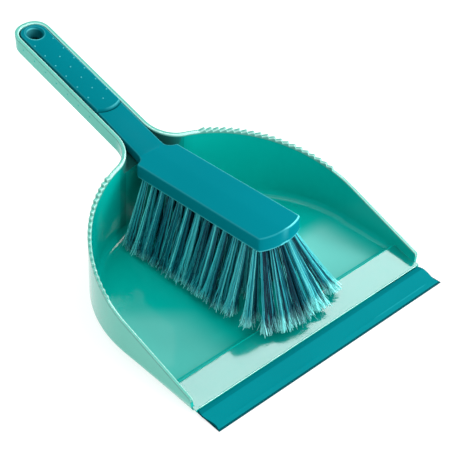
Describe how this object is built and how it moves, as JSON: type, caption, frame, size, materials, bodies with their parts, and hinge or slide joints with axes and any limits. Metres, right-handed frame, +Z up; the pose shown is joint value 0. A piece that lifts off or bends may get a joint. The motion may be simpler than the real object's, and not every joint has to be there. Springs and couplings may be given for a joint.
{
  "type": "dust pan and brush set",
  "caption": "Dust pan with a rubber lip, a toothed comb on its rim and a channel handle that stores a hand brush with splayed bristle tufts.",
  "frame": {"origin": "centre of the set's bounding box at its base, on the surface the pan stands on", "axes": "+X across the pan to the right seen from the lip, +Y from the lip to the hanging end of the handles, +Z up"},
  "size_m": [0.2316, 0.3578, 0.1145],
  "materials": {
    "pan_plastic": "smooth glossy moulded polypropylene, mint green",
    "lip_rubber": "smooth soft rubber, dark teal",
    "brush_plastic": "satin moulded polypropylene, dark teal",
    "bristles": "crimped synthetic filament in mixed teals"
  },
  "bodies": {
    "dustpan": {"dustpan_body": "pan_plastic", "rubber_lip": "lip_rubber"},
    "brush": {"brush_body": "brush_plastic", "tuft_inner_left_01": "bristles", "tuft_inner_left_02": "bristles", "tuft_inner_left_03": "bristles", "tuft_inner_left_04": "bristles", "tuft_inner_left_05": "bristles", "tuft_inner_left_06": "bristles", "tuft_inner_left_07": "bristles", "tuft_inner_left_08": "bristles", "tuft_inner_left_09": "bristles", "tuft_inner_left_10": "bristles", "tuft_inner_left_11": "bristles", "tuft_inner_right_01": "bristles", "tuft_inner_right_02": "bristles", "tuft_inner_right_03": "bristles", "tuft_inner_right_04": "bristles", "tuft_inner_right_05": "bristles", "tuft_inner_right_06": "bristles", "tuft_inner_right_07": "bristles", "tuft_inner_right_08": "bristles", "tuft_inner_right_09": "bristles", "tuft_inner_right_10": "bristles", "tuft_inner_right_11": "bristles", "tuft_left_01": "bristles", "tuft_left_02": "bristles", "tuft_left_03": "bristles", "tuft_left_04": "bristles", "tuft_left_05": "bristles", "tuft_left_06": "bristles", "tuft_left_07": "bristles", "tuft_left_08": "bristles", "tuft_left_09": "bristles", "tuft_left_10": "bristles", "tuft_left_11": "bristles", "tuft_left_12": "bristles", "tuft_left_13": "bristles", "tuft_nose_01": "bristles", "tuft_nose_02": "bristles", "tuft_nose_03": "bristles", "tuft_nose_04": "bristles", "tuft_nose_05": "bristles", "tuft_right_01": "bristles", "tuft_right_02": "bristles", "tuft_right_03": "bristles", "tuft_right_04": "bristles", "tuft_right_05": "bristles", "tuft_right_06": "bristles", "tuft_right_07": "bristles", "tuft_right_08": "bristles", "tuft_right_09": "bristles", "tuft_right_10": "bristles", "tuft_right_11": "bristles", "tuft_right_12": "bristles", "tuft_right_13": "bristles"}
  },
  "joints": [
    {"name": "brush_lift", "type": "slide", "parent": "dustpan", "child": "brush", "axis": [0, 0, 1], "range_m": [0, 0.13]}
  ]
}
